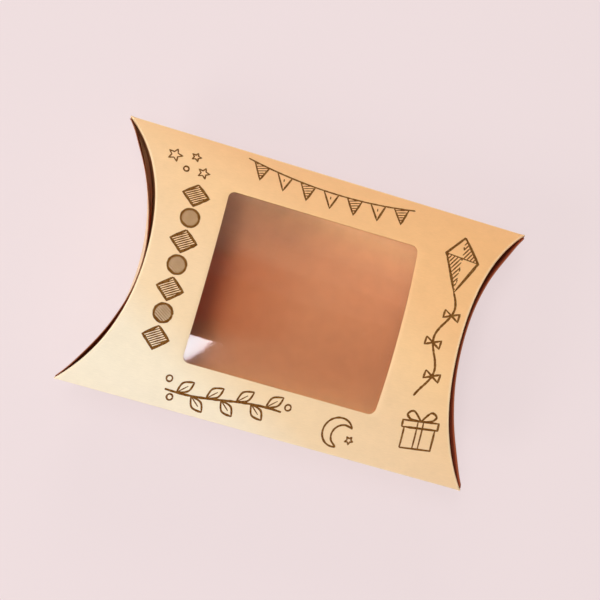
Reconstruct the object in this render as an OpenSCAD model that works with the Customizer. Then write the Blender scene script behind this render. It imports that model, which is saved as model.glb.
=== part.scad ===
// Pillow-shaped favor box: one folded sheet of board, glued along one side
// crease, with a clear film window in its front panel and two end flaps at
// each end that close over each other.
//
// X runs along the length, Y across the width and Z up. The box lies on its
// back panel at z = 0, and the origin is under its middle.

/* [Box] */
// Length of the back panel, from corner tip to corner tip
box_len = 251; // [200:1:320]
// Width between the two side creases
box_w = 160; // [130:1:200]
// Thickness of the board
board_t = 0.5; // [0.3:0.05:0.8]

/* [Front panel] */
// Rise of the front panel above the side creases
front_rise = 31; // [22:0.5:38]
// Fullness of the front panel's shoulders, where 0 is a plain parabola
front_full_share = 0.34; // [0:0.02:0.5]
// How much shorter the front panel is at each end, so that its flaps tuck inside
nest_step = 0.8; // [0.6:0.1:2]

/* [Back panel] */
// Depth of the back panel below the side creases
back_rise = 29.5; // [22:0.5:38]
// Fullness of the back panel's shoulders
back_full_share = 0.04; // [0:0.02:0.4]
// Width of the flattened strip that the box rests on
belly_w = 30; // [16:1:50]

/* [End flaps] */
// Clearance between the two flaps of an end, at their middle
flap_gap = 1.2; // [0.8:0.1:4]
// Fullness of the outer flaps' curve
outer_full_share = 0; // [-0.1:0.02:0.3]
// Drop of the outer flaps' free edge below the front crease
outer_edge_drop = 1; // [0.5:0.1:4]
// How far the inner flaps' free edge reaches below the side creases
inner_reach = 4; // [1:0.5:6]
// Relief cut off each corner of the outer flaps
outer_tip_relief = 2; // [1.5:0.5:6]
// Relief cut off each corner of the inner flaps
inner_tip_relief = 5; // [3:0.5:10]

/* [Window] */
// Length of the window along the box
window_len = 115; // [60:1:130]
// Width of the window across the box
window_w = 102; // [60:1:110]
// Corner radius of the window
window_corner_r = 4; // [2:0.5:10]
// Offset of the window's middle from the middle of the box, across the width
window_offset = -1; // [-4:0.5:4]
// Thickness of the clear film
film_t = 0.2; // [0.1:0.05:0.4]
// Overlap of the film past the window's edge
film_margin = 9; // [6:0.5:12]
// Width of the glue line that holds the film
film_glue_w = 4; // [2:0.5:5]
// Distance of that glue line from the window's edge
film_glue_edge = 2; // [1:0.5:4]

/* [Glued seam] */
// Width of the glued tab inside the side crease
tab_w = 14; // [10:1:20]
// Distance of the tab's ends from the corner tips
tab_end_gap = 18; // [14:1:30]
// Taper of the tab's ends
tab_taper = 6; // [2:0.5:12]
// Width of the glue line under the tab
tab_glue_w = 8; // [5:0.5:9]
// Thickness of the dried glue
glue_t = 0.1; // [0.05:0.05:0.2]

/* [Hidden] */
// Facets across the width of every curved piece
facets = 48;
// Clearance between a flap's root and the end of its panel
crease_gap = 0.4;
// Height of the outer flaps' roots above the surface that the box lies on
root_lift = 0.3;
// Overrun of every cut past the material that it cuts
over = 5;

half_w = box_w / 2;
back_end = box_len / 2;
front_end = back_end - nest_step;
// The front creases curve in as far as the front panel rises, so that the
// inner flaps stand upright when they are folded in
inner_inset = front_rise;
// The outer flaps' creases curve in far enough to leave the clearance at the middle
outer_inset = inner_inset + nest_step - board_t - flap_gap;
crease_z = back_rise;
box_h = back_rise + front_rise;

// Height of a panel's curve over its chord at y, with a flat strip in its middle
function reach(y, flat) = max(0, abs(y) - flat / 2) / (half_w - flat / 2);
function bulge(s, full) = (1 - s * s) * (1 + full * s * s);
function bulge_rate(s, full) = 2 * (full - 1) * s - 4 * full * s * s * s;
function height_at(y, rise, full, flat) = rise * bulge(reach(y, flat), full);
function slope_at(y, rise, full, flat) =
    sign(y) * rise / (half_w - flat / 2) * bulge_rate(reach(y, flat), full);

// Points of that curve across the box, moved in along its normal by depth
stations = [for (i = [0:facets]) -half_w + box_w * i / facets];
function curve(rise, full, flat, depth) = [
    for (y = stations)
        let (m = slope_at(y, rise, full, flat), n = sqrt(1 + m * m))
            [y + depth * m / n, height_at(y, rise, full, flat) - depth / n]
];
function front_curve(depth) = curve(front_rise, front_full_share, 0, depth);
function back_curve(depth) = curve(back_rise, back_full_share, belly_w, depth);
function reversed(points) = [for (i = [len(points) - 1:-1:0]) points[i]];

// Plan of an end crease: the same kind of curve, sunk in from the end by its inset
function plan_line(end_x, points) = [for (p = points) [end_x - p[1], p[0]]];
function inner_line(depth) =
    plan_line(front_end, curve(inner_inset, front_full_share, 0, depth));
function outer_line(depth) =
    plan_line(back_end, curve(outer_inset, outer_full_share, 0, depth));
function mirrored(points) = [for (p = points) [-p[0], p[1]]];

// Extrudes a shape drawn in the Y-Z plane along X
module along_x(length) {
    rotate([90, 0, 90])
        linear_extrude(length, center = true)
            children();
}

// Extrudes a shape drawn in the X-Y plane through the whole height
module through_z() {
    translate([0, 0, -over])
        linear_extrude(box_h + 2 * over)
            children();
}

// Layer of the front panel between two depths below its outer surface
module front_layer(depth, thickness) {
    translate([0, 0, crease_z])
        along_x(box_len)
            intersection() {
                polygon(concat(front_curve(depth), reversed(front_curve(depth + thickness))));
                translate([-half_w, 0])
                    square([box_w, front_rise]);
            }
}

// Layer of the back panel between two depths above its outer surface
module back_layer(depth, thickness) {
    translate([0, 0, crease_z])
        mirror([0, 0, 1])
            along_x(box_len)
                intersection() {
                    polygon(concat(back_curve(depth), reversed(back_curve(depth + thickness))));
                    translate([-half_w, 0])
                        square([box_w, back_rise]);
                }
}

// Plan of what lies between the flap roots of both ends
module plan_between(right_line) {
    polygon(concat(right_line, reversed(mirrored(right_line))));
}

module rounded_rect(length, width, radius) {
    square([length - 2 * radius, width], center = true);
    square([length, width - 2 * radius], center = true);
    for (x = [-1, 1], y = [-1, 1])
        translate([x * (length / 2 - radius), y * (width / 2 - radius)])
            circle(radius, $fn = 48);
}

// Rectangle round the window, bigger than it by the margin on every side
module window_rect(margin) {
    translate([0, window_offset])
        rounded_rect(window_len + 2 * margin, window_w + 2 * margin, window_corner_r);
}

// Upright curved wall of a flap, cut to the outline that it has seen from the end
module flap_wall(line_out, line_in, outline) {
    intersection() {
        through_z()
            polygon(concat(line_out, reversed(line_in)));
        along_x(2 * box_len)
            polygon(outline);
    }
}

// Outline between a lower and an upper edge, each a list of points across the box
function outline_of(low, high) = concat(low, reversed(high));
function within(points, limit) = [for (p = points) if (abs(p[0]) < limit) p];

module front_panel() {
    color("#F0C896")
        difference() {
            intersection() {
                front_layer(0, board_t);
                through_z()
                    plan_between(inner_line(-board_t - crease_gap));
            }
            through_z()
                window_rect(0);
        }
}

module back_panel() {
    color("#E4B27C")
        intersection() {
            back_layer(0, board_t);
            through_z()
                plan_between(outer_line(-board_t - crease_gap));
        }
}

// Strip inside the side crease, reaching width across the box, with tapered ends
module seam_plan(length, width, taper, edge) {
    polygon([
        [-length / 2, -half_w + edge],
        [length / 2, -half_w + edge],
        [length / 2 - taper, -half_w + edge + width],
        [-length / 2 + taper, -half_w + edge + width]
    ]);
}

module seam_tab() {
    color("#DDAA72")
        intersection() {
            back_layer(board_t + glue_t, board_t);
            through_z()
                seam_plan(box_len - 2 * tab_end_gap, tab_w, tab_taper, 0);
        }
}

module seam_glue() {
    glue_edge = (tab_w - tab_glue_w) / 2;
    color("#F4EBD8")
        intersection() {
            back_layer(board_t, glue_t);
            through_z()
                seam_plan(box_len - 2 * tab_end_gap - 2 * tab_taper, tab_glue_w, 0, glue_edge);
        }
}

module window_film() {
    color("#DCE8EE", 0.35)
        intersection() {
            front_layer(board_t + glue_t, film_t);
            through_z()
                window_rect(film_margin);
        }
}

module window_glue() {
    color("#F4EBD8")
        intersection() {
            front_layer(board_t, glue_t);
            through_z()
                difference() {
                    window_rect(film_glue_edge + film_glue_w);
                    window_rect(film_glue_edge);
                }
        }
}

// Flap on the back panel's crease. Its free edge follows the front crease just below it.
module outer_flap() {
    limit = half_w - outer_tip_relief;
    root = [for (y = stations)
        [y, crease_z + root_lift - height_at(y, back_rise, back_full_share, belly_w)]];
    edge = [for (y = stations)
        [y, crease_z + height_at(y, front_rise - outer_edge_drop, front_full_share, 0)]];
    color("#D9A066")
        flap_wall(outer_line(0), outer_line(-board_t), outline_of(within(root, limit), within(edge, limit)));
}

// Flap on the front panel's crease, folded in first, behind the outer flap
module inner_flap() {
    limit = half_w - inner_tip_relief;
    root = [for (y = stations)
        [y, crease_z + height_at(y, front_rise, front_full_share, 0)]];
    edge = [for (y = stations)
        [y, crease_z - height_at(y, inner_reach, 0, 0)]];
    color("#C98F58")
        flap_wall(inner_line(0), inner_line(-board_t), outline_of(within(edge, limit), within(root, limit)));
}

module right_outer_flap() {
    outer_flap();
}

module left_outer_flap() {
    mirror([1, 0, 0])
        outer_flap();
}

module right_inner_flap() {
    inner_flap();
}

module left_inner_flap() {
    mirror([1, 0, 0])
        inner_flap();
}

front_panel();
back_panel();
seam_tab();
seam_glue();
window_film();
window_glue();
left_outer_flap();
left_inner_flap();
right_outer_flap();
right_inner_flap();
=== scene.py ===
"""Dresses a pillow-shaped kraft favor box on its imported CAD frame.

Shapes are worked out in millimetres, in the frame of the CAD part, and become
metres when a mesh is placed.
"""

import logging
import math
from dataclasses import dataclass, field
from enum import Enum
from typing import Callable, Iterable, Sequence

import bpy
from mathutils import Matrix, Quaternion, Vector


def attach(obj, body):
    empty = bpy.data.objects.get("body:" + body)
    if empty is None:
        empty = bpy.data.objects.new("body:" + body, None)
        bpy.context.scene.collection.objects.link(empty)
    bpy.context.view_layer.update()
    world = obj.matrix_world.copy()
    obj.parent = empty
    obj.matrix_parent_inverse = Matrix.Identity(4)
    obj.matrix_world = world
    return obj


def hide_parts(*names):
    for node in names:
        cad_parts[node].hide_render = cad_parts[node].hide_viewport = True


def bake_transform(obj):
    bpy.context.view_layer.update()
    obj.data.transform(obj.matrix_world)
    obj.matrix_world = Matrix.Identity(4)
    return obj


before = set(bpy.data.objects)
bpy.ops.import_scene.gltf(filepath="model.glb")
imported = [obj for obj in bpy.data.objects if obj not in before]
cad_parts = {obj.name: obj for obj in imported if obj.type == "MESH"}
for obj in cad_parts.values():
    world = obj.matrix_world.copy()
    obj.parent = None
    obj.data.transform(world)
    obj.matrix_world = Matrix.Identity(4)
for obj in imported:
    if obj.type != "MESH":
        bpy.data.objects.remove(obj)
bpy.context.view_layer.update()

log = logging.getLogger("favor_box")

Point = tuple[float, float]
Triple = tuple[float, float, float]
Placer = Callable[[float, float], Vector]
WearAndHighlight = Callable[[float, float], float]
Piece = bpy.types.Object
Material = bpy.types.Material
Tree = bpy.types.NodeTree
Socket = bpy.types.NodeSocket
Value = float | Sequence[float] | Socket

MM = 0.001
# Attribute that says how far a fold has stretched the board's face, and how strong the painted
# highlight along the fold is
FOLD_WEAR_AND_HIGHLIGHT = "fold_wear"
# Material slots of a sheet's inner face and cut edge, after its outer face in slot 0
INNER_SLOT, EDGE_SLOT = 1, 2
# Points of a sheet closer than this are one point, in millimetres
MERGE_WITHIN = 0.01
# Edges that turn by more degrees than this are eased, in so many steps
EASE_ANGLE, EASE_SEGMENTS = 55, 2
# Faces that turn by more degrees than this meet in an edge that shows
SHEET_SMOOTH_ANGLE, INK_SMOOTH_ANGLE = 40, 60
# Sockets for colours of a Mix node, which share their names with its other sockets
MIX_FIRST, MIX_SECOND, MIX_COLOUR = 6, 7, 2
BOARD_IOR = 1.47


# ---- Shape of the box -------------------------------------------------------


class End(Enum):
    """The two ends of the box, each by the sign of its X."""

    LEFT = -1
    RIGHT = 1


class Side(Enum):
    """The four stretches of the front panel's outline, in the order they follow."""

    RIGHT_END = 0
    FAR_SIDE = 1
    LEFT_END = 2
    NEAR_SIDE = 3

    @property
    def is_end(self) -> bool:
        """Whether the stretch is an end crease, not a side crease."""
        return self in (Side.RIGHT_END, Side.LEFT_END)

    @property
    def sign(self) -> int:
        """Sign of an end crease's X, or of a side crease's Y."""
        return 1 if self in (Side.RIGHT_END, Side.FAR_SIDE) else -1

    @property
    def before(self) -> "Side":
        """The stretch that ends where this one starts."""
        return Side((self.value - 1) % len(Side))


@dataclass(frozen=True)
class Arch:
    """A bowed line over the width of the box, with a flat strip in its middle."""

    rise: float
    # Fullness of its shoulders, where 0 is a plain parabola
    fullness: float = 0.0
    half_width: float = 80.0
    flat: float = 0.0

    def share(self, y: float) -> float:
        """Distance of y from the flat strip, as a share of the bowed width."""
        half_flat = self.flat / 2
        return max(0.0, abs(y) - half_flat) / (self.half_width - half_flat)

    def height(self, y: float) -> float:
        """Height of the bow at y."""
        s = self.share(y)
        return self.rise * (1 - s * s) * (1 + self.fullness * s * s)

    def slope(self, y: float) -> float:
        """Change of the bow's height with y.

        Args:
            y: Place across the width.

        Returns:
            The slope there.
        """
        s = self.share(y)
        rate = 2 * (self.fullness - 1) * s - 4 * self.fullness * s**3
        return math.copysign(self.rise * rate / (self.half_width - self.flat / 2), y * rate)


@dataclass(frozen=True)
class BoxShape:
    """Sizes of the folded board: the CAD part's within 0.05 mm, but for the back panel's
    end creases, which are fuller."""

    half_width: float = 79.98
    crease_z: float = 29.5
    board: float = 0.5
    front: Arch = Arch(30.95, 0.34)
    back: Arch = Arch(29.5, 0.04, flat=30.0)
    front_crease: Arch = Arch(31.0, 0.34)
    back_crease: Arch = Arch(30.4, 0.26)
    front_tip: float = 124.7
    back_tip: float = 125.5
    fold_radius: float = 0.75
    # Where a tip's point starts to be rounded off, and how much further it reaches
    blunt_from: float = 123.5
    blunting: float = 0.75

    def front_height(self, y: float) -> float:
        """Height of the front panel's outer face at y."""
        return self.crease_z + self.front.height(y)

    def back_height(self, y: float) -> float:
        """Height of the back panel's outer face at y."""
        return self.crease_z - self.back.height(y)

    def front_normal(self, y: float) -> Vector:
        """Outward direction of the front panel at y."""
        return Vector((0.0, -self.front.slope(y), 1.0)).normalized()

    def back_normal(self, y: float) -> Vector:
        """Outward direction of the back panel at y."""
        return Vector((0.0, -self.back.slope(y), -1.0)).normalized()

    def on_front(self, x: float, y: float, depth: float = 0.0) -> Vector:
        """Point at a depth below the front panel's outer face."""
        return Vector((x, y, self.front_height(y))) - self.front_normal(y) * depth

    def on_back(self, x: float, y: float, depth: float = 0.0) -> Vector:
        """Point at a depth inside the back panel's outer face."""
        return Vector((x, y, self.back_height(y))) - self.back_normal(y) * depth

    def blunted(self, x: float) -> float:
        """Distance x from the middle of the box, with the point of a tip rounded off."""
        past = max(0.0, x - self.blunt_from) / self.blunting
        return min(x, self.blunt_from) + self.blunting * (1 - math.exp(-past))

    def front_crease_x(self, y: float) -> float:
        """Distance of the front panel's end crease from the middle of the box."""
        return self.blunted(self.front_tip - self.front_crease.height(y))

    def back_crease_x(self, y: float) -> float:
        """Distance of the back panel's end crease from the middle of the box."""
        return self.blunted(self.back_tip - self.back_crease.height(y))


@dataclass(frozen=True)
class Fold:
    """A rounded fold between two faces that meet along a crease."""

    corner: Vector
    face: Vector
    next_face: Vector
    along: Vector
    radius: float

    @property
    def reach(self) -> float:
        """Distance from the crease to where the rounding starts on either face."""
        return self.radius * math.tan(self.face.angle(self.next_face) / 2)

    def start(self) -> Vector:
        """Finds where the rounding leaves the first face.

        Returns:
            The point on the outer surface.
        """
        across = self.face.cross(self.along).normalized()
        if across.dot(self.next_face) > 0:
            across.negate()
        return self.corner + across * self.reach

    def end(self) -> Vector:
        """Where the rounding meets the next face."""
        return self.point(1.0)

    def point(self, share: float) -> Vector:
        """Point of the rounding, from 0 on the first face to 1 on the next."""
        centre = self.start() - self.face * self.radius
        return centre + self.face.slerp(self.next_face, share) * self.radius


def front_fold(shape: BoxShape, side: Side, share: float) -> Fold:
    """Fold on the front panel's outline.

    Args:
        shape: Sizes of the board.
        side: Stretch of the outline.
        share: Place along that stretch, from 0 to 1.

    Returns:
        The fold at that place.
    """
    half, sign = shape.half_width, side.sign
    if side.is_end:
        y = sign * (2 * share - 1) * half
        turn = shape.front_crease.slope(y)
        return Fold(
            shape.on_front(sign * shape.front_crease_x(y), y),
            shape.front_normal(y),
            Vector((sign, turn, 0.0)).normalized(),
            Vector((-sign * turn, 1.0, shape.front.slope(y))).normalized(),
            shape.fold_radius,
        )
    x, y = sign * (1 - 2 * share) * shape.front_crease_x(half), sign * half
    return Fold(
        Vector((x, y, shape.crease_z)),
        shape.front_normal(y),
        shape.back_normal(y),
        Vector((1.0, 0.0, 0.0)),
        shape.fold_radius,
    )


def back_fold(shape: BoxShape, end: End, y: float) -> Fold:
    """Fold between the back panel and an outer flap.

    Args:
        shape: Sizes of the board.
        end: End of the box.
        y: Place across the width.

    Returns:
        The fold at that place.
    """
    turn = shape.back_crease.slope(y)
    return Fold(
        shape.on_back(end.value * shape.back_crease_x(y), y),
        shape.back_normal(y),
        Vector((end.value, turn, 0.0)).normalized(),
        Vector((-end.value * turn, 1.0, -shape.back.slope(y))).normalized(),
        shape.fold_radius,
    )


# ---- Curves -----------------------------------------------------------------


def smooth_step(low: float, high: float, value: float) -> float:
    """Eases from 0 at low to 1 at high."""
    t = min(1.0, max(0.0, (value - low) / (high - low)))
    return t * t * (3 - 2 * t)


def smooth_span(a: float, b: float, c: float, d: float, t: float) -> float:
    """Smooth curve from b at 0 to c at 1, as it comes from a and runs on to d."""
    return 0.5 * (
        2 * b + (c - a) * t + (2 * a - 5 * b + 4 * c - d) * t * t + (3 * b - a - 3 * c + d) * t**3
    )


def smooth_between(stations: Sequence[float], share: float) -> float:
    """Smooth curve through evenly spaced values.

    Args:
        stations: The values, from the first end to the last.
        share: Place along them, from 0 to 1.

    Returns:
        The curve's value there.
    """
    spans = len(stations) - 1
    i = min(spans - 1, max(0, int(share * spans)))
    around = (stations[min(spans, max(0, i + k))] for k in (-1, 0, 1, 2))
    return smooth_span(*around, share * spans - i)


def corner_inset(radius: float, into: float) -> float:
    """How far a rounded corner takes an edge back, this far into the corner."""
    into = min(radius, max(0.0, into))
    return radius - math.sqrt(radius * radius - into * into)


def arc(centre: Point, radius: float, degrees: Iterable[float]) -> list[Point]:
    """Points of a round, each at an angle in degrees from X."""
    turns = [math.radians(angle) for angle in degrees]
    return [(centre[0] + radius * math.cos(a), centre[1] + radius * math.sin(a)) for a in turns]


# ---- Modelling steps --------------------------------------------------------


def select_only(piece: Piece) -> None:
    """Deselects everything else and makes the piece active.

    Args:
        piece: The piece that the next operators act on.
    """
    bpy.ops.object.select_all(action="DESELECT")
    piece.select_set(True)
    bpy.context.view_layer.objects.active = piece


def drape_grid(
    name: str,
    columns: int,
    rows: int,
    place: Placer,
    flip: bool = False,
    wear: WearAndHighlight | None = None,
) -> Piece:
    """Lays a grid primitive over a curved surface.

    Args:
        name: Name of the new piece.
        columns: Faces along the grid's first direction.
        rows: Faces along its second direction.
        place: Gives the point in millimetres for two shares, each from 0 to 1.
        flip: Whether the faces have to be turned to point outwards.
        wear: Gives how far a fold has stretched the board's face, and so its painted highlight,
            for the same shares.

    Returns:
        The new piece, a single layer with its seams merged.
    """
    bpy.ops.object.select_all(action="DESELECT")
    bpy.ops.mesh.primitive_grid_add(x_subdivisions=columns, y_subdivisions=rows, size=2.0)
    piece = bpy.context.object
    piece.name = piece.data.name = name
    paling_by_wear_and_highlight = piece.data.attributes.new(FOLD_WEAR_AND_HIGHLIGHT, "FLOAT", "POINT")
    for vertex in piece.data.vertices:
        across, up = (vertex.co.x + 1) / 2, (vertex.co.y + 1) / 2
        vertex.co = place(across, up) * MM
        paling_by_wear_and_highlight.data[vertex.index].value = wear(across, up) if wear else 0.0
    bpy.ops.object.mode_set(mode="EDIT")
    bpy.ops.mesh.select_all(action="SELECT")
    bpy.ops.mesh.remove_doubles(threshold=MERGE_WITHIN * MM)
    if flip:
        bpy.ops.mesh.flip_normals()
    bpy.ops.object.mode_set(mode="OBJECT")
    return piece


def thicken(piece: Piece, thickness: float, round_edge: float) -> None:
    """Gives a layer its thickness below its outer face and eases its cut edges.

    Args:
        piece: Single layer whose faces point outwards.
        thickness: Thickness in millimetres.
        round_edge: Width of the eased edge in millimetres, or 0 for a sharp one.
    """
    select_only(piece)
    solid = piece.modifiers.new("Thickness", "SOLIDIFY")
    solid.thickness = thickness * MM
    solid.offset = -1.0
    solid.material_offset = INNER_SLOT
    solid.material_offset_rim = EDGE_SLOT
    bpy.ops.object.modifier_apply(modifier=solid.name)
    if round_edge:
        ease = piece.modifiers.new("Eased edge", "BEVEL")
        ease.width = round_edge * MM
        ease.segments = EASE_SEGMENTS
        ease.limit_method = "ANGLE"
        ease.angle_limit = math.radians(EASE_ANGLE)
        bpy.ops.object.modifier_apply(modifier=ease.name)
    bpy.ops.object.shade_smooth_by_angle(angle=math.radians(SHEET_SMOOTH_ANGLE))


def dress(piece: Piece, materials: Sequence[Material]) -> None:
    """Puts materials on a piece.

    Args:
        piece: The piece that gets them.
        materials: One for each of its slots, in their order.
    """
    piece.data.materials.clear()
    for material in materials:
        piece.data.materials.append(material)


def report(what: str, piece: Piece) -> None:
    """Logs a finished piece and how many faces it has."""
    log.info("%s: %d faces", what, len(piece.data.polygons))


# ---- Finishes ---------------------------------------------------------------


def linear(colour: str) -> tuple[float, float, float, float]:
    """Turns an sRGB hex colour into the linear one that shaders read.

    Args:
        colour: The colour, as #RRGGBB.

    Returns:
        Red, green and blue from 0 to 1, and full opacity.
    """
    parts = [int(colour[i : i + 2], 16) / 255 for i in (1, 3, 5)]
    # The sRGB curve: straight near black, and a power above
    red, green, blue = (
        c / 12.92 if c <= 0.04045 else ((c + 0.055) / 1.055) ** 2.4 for c in parts
    )
    return red, green, blue, 1.0


def add_node(
    tree: Tree, kind: str, inputs: dict[int | str, Value] | None = None, **settings: str
) -> bpy.types.Node:
    """Adds a node with its settings, values and links.

    Args:
        tree: Node tree that gets the node.
        kind: Type name of the node.
        inputs: A value or another node's socket for each input, by name or index.
        **settings: Properties of the node.

    Returns:
        The new node.
    """
    node = tree.nodes.new(kind)
    for name, value in settings.items():
        setattr(node, name, value)
    for key, value in (inputs or {}).items():
        if isinstance(value, Socket):
            tree.links.new(value, node.inputs[key])
        else:
            node.inputs[key].default_value = value
    return node


def background_seen(tree: Tree, mirrored: Socket | None = None) -> Socket:
    """Adds how much of the background's own even colour each kind of ray meets.

    Args:
        tree: Node tree of the floor or of the world.
        mirrored: How much of it gloss and film meet, or None for all of it.

    Returns:
        The share, which is 1 for the camera.
    """
    path = add_node(tree, "ShaderNodeLightPath").outputs
    seen = path["Is Camera Ray"]
    for kind in ("Is Glossy Ray", "Is Transmission Ray"):
        share = path[kind]
        if mirrored is not None:
            share = add_node(
                tree, "ShaderNodeMath", {0: mirrored, 1: share}, operation="MULTIPLY"
            ).outputs["Value"]
        seen = add_node(
            tree, "ShaderNodeMath", {0: seen, 1: share}, operation="MAXIMUM"
        ).outputs["Value"]
    return seen


@dataclass(frozen=True)
class Finish:
    """How one real material looks, built as a node material."""

    name: str

    def build(self) -> Material:
        """Builds the node material.

        Returns:
            The material, whose patterns lie in Object coordinates.
        """
        material = bpy.data.materials.new(self.name)
        material.use_nodes = True
        tree = material.node_tree
        tree.nodes.clear()
        where = add_node(tree, "ShaderNodeTexCoord").outputs["Object"]
        add_node(tree, "ShaderNodeOutputMaterial", {"Surface": self.surface(tree, where)})
        return material

    def surface(self, tree: Tree, where: Socket) -> Socket:
        """Adds the nodes of this finish. Each kind of finish has its own."""
        raise NotImplementedError


@dataclass(frozen=True)
class KraftBoard(Finish):
    """Uncoated kraft carton board, calendered: matte to satin, with faint fibres and a cloudy
    formation that the eye reads as paper. Its tone drifts from cream to peach, partly its own
    tone and partly painted light and shade: painted paler on the near left, as a sheen, and
    warmer on the far right, as shade."""

    name: str = "calendered_kraft_board"
    # Tones of the sheet from its near left corner to its far right one, with painted light and
    # shade in them
    tones_with_painted_light_and_shade: tuple[tuple[float, str], ...] = (
        (0.00, "#F7EAD0"),
        (0.11, "#F7E7CA"),
        (0.23, "#F4D6AC"),
        (0.40, "#F4D0A3"),
        (0.58, "#F8CC96"),
        (0.72, "#F4C087"),
        (1.00, "#F5BD80"),
    )
    # How fast that drift goes along X, Y and Z, per metre, and where it is at the origin
    drift_with_painted_light: Triple = (2.2, 4.4, 0.0)
    drift_with_painted_light_start: float = 0.5
    # Paler tone of a fold's stretched face: partly wear, partly a painted highlight along the
    # fold
    worn_and_highlit: str = "#FFEBC4"
    roughness: float = 0.5
    gloss: float = 0.35
    # Real fibres are 0.03 mm wide, so they are drawn ten times as coarse to show
    fibre_width: float = 0.3
    fibre_length: float = 3.2
    fibre_depth: float = 0.015
    # Two layers of fibres, each turned from X by this many radians
    fibre_turns: tuple[float, float] = (0.12, -0.55)
    fibre_shades: tuple[float, float] = (0.965, 1.025)
    cloud_size: float = 9.0
    cloud_depth: float = 0.02

    def surface(self, tree: Tree, where: Socket) -> Socket:
        """Adds the board: its drifting tone, shaded by clouds and fibres.

        Args:
            tree: Node tree of the material.
            where: Object coordinates.

        Returns:
            The shader.
        """
        layers = [self.fibre_layer(tree, where, turn) for turn in self.fibre_turns]
        fibres = add_node(
            tree, "ShaderNodeMath", {0: layers[0], 1: layers[1]}, operation="ADD"
        ).outputs["Value"]
        shade = self.shade(tree, where, fibres)
        toned = add_node(
            tree,
            "ShaderNodeVectorMath",
            {0: self.tone_with_painted_light(tree, where), "Scale": shade},
            operation="SCALE",
        ).outputs["Vector"]
        # A fold stretches the calendered face, so its fibres open and look paler; the paler line
        # is also a painted highlight along the fold
        paling_by_wear_and_highlight = add_node(tree, "ShaderNodeAttribute", attribute_name=FOLD_WEAR_AND_HIGHLIGHT).outputs["Fac"]
        colour = add_node(
            tree,
            "ShaderNodeMix",
            {"Factor": paling_by_wear_and_highlight, MIX_FIRST: toned, MIX_SECOND: linear(self.worn_and_highlit)},
            data_type="RGBA",
        ).outputs[MIX_COLOUR]
        bump = add_node(
            tree,
            "ShaderNodeBump",
            {"Height": fibres, "Strength": 0.5, "Distance": self.fibre_depth * MM},
        ).outputs["Normal"]
        return add_node(
            tree,
            "ShaderNodeBsdfPrincipled",
            {
                "Base Color": colour,
                "Roughness": self.roughness,
                "IOR": BOARD_IOR,
                "Specular IOR Level": self.gloss,
                "Normal": bump,
            },
        ).outputs["BSDF"]

    def tone_with_painted_light(self, tree: Tree, where: Socket) -> Socket:
        """Adds the tone of the sheet, which drifts over it and carries painted light and shade.

        Args:
            tree: Node tree of the material.
            where: Object coordinates.

        Returns:
            The colour.
        """
        slide = add_node(
            tree, "ShaderNodeVectorMath", {0: where, 1: self.drift_with_painted_light}, operation="DOT_PRODUCT"
        ).outputs["Value"]
        drift_with_painted_light = add_node(
            tree, "ShaderNodeMath", {0: slide, 1: self.drift_with_painted_light_start}, operation="ADD"
        ).outputs["Value"]
        tone_with_painted_light = add_node(tree, "ShaderNodeValToRGB", {"Fac": drift_with_painted_light})
        stops = tone_with_painted_light.color_ramp.elements
        stops.remove(stops[1])
        for i, (position, colour) in enumerate(self.tones_with_painted_light_and_shade):
            stop = stops[0] if i == 0 else stops.new(position)
            stop.position, stop.color = position, linear(colour)
        return tone_with_painted_light.outputs["Color"]

    def shade(self, tree: Tree, where: Socket, fibres: Socket) -> Socket:
        """Adds the light and dark of the sheet's clouds and fibres.

        Args:
            tree: Node tree of the material.
            where: Object coordinates.
            fibres: Both layers of fibres together.

        Returns:
            The shade, about 1.
        """
        clouds = add_node(
            tree,
            "ShaderNodeTexNoise",
            {
                "Vector": where,
                "Scale": 1 / (self.cloud_size * MM),
                "Detail": 3.0,
                "Roughness": 0.55,
            },
        ).outputs["Fac"]
        cloudy = add_node(
            tree,
            "ShaderNodeMapRange",
            {
                "Value": clouds,
                "From Min": 0.3,
                "From Max": 0.7,
                "To Min": 1 - self.cloud_depth,
                "To Max": 1 + self.cloud_depth,
            },
        ).outputs["Result"]
        fibrous = add_node(
            tree,
            "ShaderNodeMapRange",
            {
                "Value": fibres,
                "From Min": 0.7,
                "From Max": 1.3,
                "To Min": self.fibre_shades[0],
                "To Max": self.fibre_shades[1],
            },
        ).outputs["Result"]
        return add_node(
            tree, "ShaderNodeMath", {0: cloudy, 1: fibrous}, operation="MULTIPLY"
        ).outputs["Value"]

    def fibre_layer(self, tree: Tree, where: Socket, turn: float) -> Socket:
        """Adds a noise drawn out along the fibres.

        Args:
            tree: Node tree of the material.
            where: Object coordinates.
            turn: Direction of the fibres, in radians from X.

        Returns:
            The noise, from 0 to 1.
        """
        along, across = 1 / (self.fibre_length * MM), 1 / (self.fibre_width * MM)
        turned = add_node(
            tree,
            "ShaderNodeMapping",
            {"Vector": where, "Rotation": (0.0, 0.0, turn), "Scale": (along, across, across)},
        ).outputs["Vector"]
        return add_node(
            tree,
            "ShaderNodeTexNoise",
            {"Vector": turned, "Scale": 1.0, "Detail": 2.0, "Roughness": 0.5, "Distortion": 0.3},
        ).outputs["Fac"]


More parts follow.
